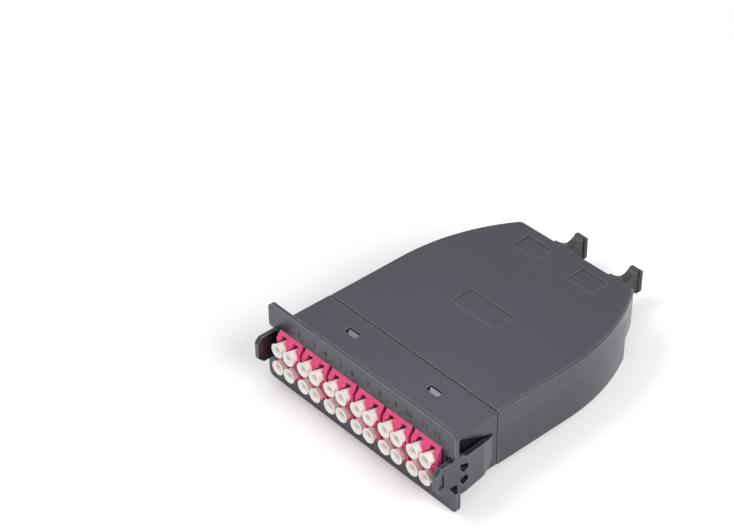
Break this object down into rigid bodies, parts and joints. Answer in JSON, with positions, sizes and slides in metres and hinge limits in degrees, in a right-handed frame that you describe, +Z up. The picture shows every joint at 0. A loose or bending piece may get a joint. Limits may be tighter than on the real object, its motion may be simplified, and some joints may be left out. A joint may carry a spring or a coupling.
{
  "type": "fibre cassette",
  "caption": "Flat MPO to LC fibre cassette: faceplate with stacked duplex adapters and dust caps, tapered two-part housing, side latches and rear plugs.",
  "frame": {"origin": "middle of the faceplate's foot edge, on which the cassette rests, halfway through the plate", "axes": "X across the faceplate, Y from the front to the rear, Z up"},
  "size_m": [0.1, 0.136, 0.0344],
  "materials": {
    "housing_plastic": "satin moulded",
    "lc_adapter_plastic": "satin moulded",
    "cap_plastic": "soft milky",
    "mpo_adapter_plastic": "satin moulded",
    "plug_plastic": "satin moulded",
    "connector_plastic": "satin moulded",
    "fibre_jacket": "smooth"
  },
  "bodies": {
    "housing": {"front_frame": "housing_plastic", "base_shell": "housing_plastic", "top_cover": "housing_plastic", "adapter_upper_1": "lc_adapter_plastic", "adapter_upper_2": "lc_adapter_plastic", "adapter_upper_3": "lc_adapter_plastic", "adapter_upper_4": "lc_adapter_plastic", "adapter_upper_5": "lc_adapter_plastic", "adapter_upper_6": "lc_adapter_plastic", "adapter_lower_1": "lc_adapter_plastic", "adapter_lower_2": "lc_adapter_plastic", "adapter_lower_3": "lc_adapter_plastic", "adapter_lower_4": "lc_adapter_plastic", "adapter_lower_5": "lc_adapter_plastic", "adapter_lower_6": "lc_adapter_plastic", "mpo_adapter_left": "mpo_adapter_plastic", "mpo_connector_left": "connector_plastic", "fibre_fanout_left": "fibre_jacket", "mpo_adapter_right": "mpo_adapter_plastic", "mpo_connector_right": "connector_plastic", "fibre_fanout_right": "fibre_jacket", "lc_plugs_1": "connector_plastic", "lc_plugs_2": "connector_plastic", "lc_plugs_3": "connector_plastic", "lc_plugs_4": "connector_plastic", "lc_plugs_5": "connector_plastic", "lc_plugs_6": "connector_plastic"},
    "latch_left": {"latch_left": "housing_plastic"},
    "latch_right": {"latch_right": "housing_plastic"},
    "cap_upper_1": {"cap_upper_1": "cap_plastic"},
    "cap_upper_2": {"cap_upper_2": "cap_plastic"},
    "cap_upper_3": {"cap_upper_3": "cap_plastic"},
    "cap_upper_4": {"cap_upper_4": "cap_plastic"},
    "cap_upper_5": {"cap_upper_5": "cap_plastic"},
    "cap_upper_6": {"cap_upper_6": "cap_plastic"},
    "cap_upper_7": {"cap_upper_7": "cap_plastic"},
    "cap_upper_8": {"cap_upper_8": "cap_plastic"},
    "cap_upper_9": {"cap_upper_9": "cap_plastic"},
    "cap_upper_10": {"cap_upper_10": "cap_plastic"},
    "cap_upper_11": {"cap_upper_11": "cap_plastic"},
    "cap_upper_12": {"cap_upper_12": "cap_plastic"},
    "cap_lower_1": {"cap_lower_1": "cap_plastic"},
    "cap_lower_2": {"cap_lower_2": "cap_plastic"},
    "cap_lower_3": {"cap_lower_3": "cap_plastic"},
    "cap_lower_4": {"cap_lower_4": "cap_plastic"},
    "cap_lower_5": {"cap_lower_5": "cap_plastic"},
    "cap_lower_6": {"cap_lower_6": "cap_plastic"},
    "cap_lower_7": {"cap_lower_7": "cap_plastic"},
    "cap_lower_8": {"cap_lower_8": "cap_plastic"},
    "cap_lower_9": {"cap_lower_9": "cap_plastic"},
    "cap_lower_10": {"cap_lower_10": "cap_plastic"},
    "cap_lower_11": {"cap_lower_11": "cap_plastic"},
    "cap_lower_12": {"cap_lower_12": "cap_plastic"},
    "mpo_plug_left": {"mpo_plug_left": "plug_plastic"},
    "mpo_plug_right": {"mpo_plug_right": "plug_plastic"}
  },
  "joints": [
    {"name": "latch_left_flex", "type": "hinge", "parent": "housing", "child": "latch_left", "pos_m": [-0.0437, 0.0206, 0.0135], "axis": [0, 0, 1], "range_deg": [0, 5], "stiffness_Nm_per_rad": 0.6},
    {"name": "latch_right_flex", "type": "hinge", "parent": "housing", "child": "latch_right", "pos_m": [0.0437, 0.0206, 0.0135], "axis": [0, 0, 1], "range_deg": [-5, 0], "stiffness_Nm_per_rad": 0.6},
    {"name": "cap_upper_1_pull", "type": "slide", "parent": "housing", "child": "cap_upper_1", "axis": [0, -1, 0], "range_m": [0, 0.01]},
    {"name": "cap_upper_2_pull", "type": "slide", "parent": "housing", "child": "cap_upper_2", "axis": [0, -1, 0], "range_m": [0, 0.01]},
    {"name": "cap_upper_3_pull", "type": "slide", "parent": "housing", "child": "cap_upper_3", "axis": [0, -1, 0], "range_m": [0, 0.01]},
    {"name": "cap_upper_4_pull", "type": "slide", "parent": "housing", "child": "cap_upper_4", "axis": [0, -1, 0], "range_m": [0, 0.01]},
    {"name": "cap_upper_5_pull", "type": "slide", "parent": "housing", "child": "cap_upper_5", "axis": [0, -1, 0], "range_m": [0, 0.01]},
    {"name": "cap_upper_6_pull", "type": "slide", "parent": "housing", "child": "cap_upper_6", "axis": [0, -1, 0], "range_m": [0, 0.01]},
    {"name": "cap_upper_7_pull", "type": "slide", "parent": "housing", "child": "cap_upper_7", "axis": [0, -1, 0], "range_m": [0, 0.01]},
    {"name": "cap_upper_8_pull", "type": "slide", "parent": "housing", "child": "cap_upper_8", "axis": [0, -1, 0], "range_m": [0, 0.01]},
    {"name": "cap_upper_9_pull", "type": "slide", "parent": "housing", "child": "cap_upper_9", "axis": [0, -1, 0], "range_m": [0, 0.01]},
    {"name": "cap_upper_10_pull", "type": "slide", "parent": "housing", "child": "cap_upper_10", "axis": [0, -1, 0], "range_m": [0, 0.01]},
    {"name": "cap_upper_11_pull", "type": "slide", "parent": "housing", "child": "cap_upper_11", "axis": [0, -1, 0], "range_m": [0, 0.01]},
    {"name": "cap_upper_12_pull", "type": "slide", "parent": "housing", "child": "cap_upper_12", "axis": [0, -1, 0], "range_m": [0, 0.01]},
    {"name": "cap_lower_1_pull", "type": "slide", "parent": "housing", "child": "cap_lower_1", "axis": [0, -1, 0], "range_m": [0, 0.01]},
    {"name": "cap_lower_2_pull", "type": "slide", "parent": "housing", "child": "cap_lower_2", "axis": [0, -1, 0], "range_m": [0, 0.01]},
    {"name": "cap_lower_3_pull", "type": "slide", "parent": "housing", "child": "cap_lower_3", "axis": [0, -1, 0], "range_m": [0, 0.01]},
    {"name": "cap_lower_4_pull", "type": "slide", "parent": "housing", "child": "cap_lower_4", "axis": [0, -1, 0], "range_m": [0, 0.01]},
    {"name": "cap_lower_5_pull", "type": "slide", "parent": "housing", "child": "cap_lower_5", "axis": [0, -1, 0], "range_m": [0, 0.01]},
    {"name": "cap_lower_6_pull", "type": "slide", "parent": "housing", "child": "cap_lower_6", "axis": [0, -1, 0], "range_m": [0, 0.01]},
    {"name": "cap_lower_7_pull", "type": "slide", "parent": "housing", "child": "cap_lower_7", "axis": [0, -1, 0], "range_m": [0, 0.01]},
    {"name": "cap_lower_8_pull", "type": "slide", "parent": "housing", "child": "cap_lower_8", "axis": [0, -1, 0], "range_m": [0, 0.01]},
    {"name": "cap_lower_9_pull", "type": "slide", "parent": "housing", "child": "cap_lower_9", "axis": [0, -1, 0], "range_m": [0, 0.01]},
    {"name": "cap_lower_10_pull", "type": "slide", "parent": "housing", "child": "cap_lower_10", "axis": [0, -1, 0], "range_m": [0, 0.01]},
    {"name": "cap_lower_11_pull", "type": "slide", "parent": "housing", "child": "cap_lower_11", "axis": [0, -1, 0], "range_m": [0, 0.01]},
    {"name": "cap_lower_12_pull", "type": "slide", "parent": "housing", "child": "cap_lower_12", "axis": [0, -1, 0], "range_m": [0, 0.01]},
    {"name": "mpo_plug_left_pull", "type": "slide", "parent": "housing", "child": "mpo_plug_left", "axis": [0, 1, 0], "range_m": [0, 0.01]},
    {"name": "mpo_plug_right_pull", "type": "slide", "parent": "housing", "child": "mpo_plug_right", "axis": [0, 1, 0], "range_m": [0, 0.01]}
  ]
}
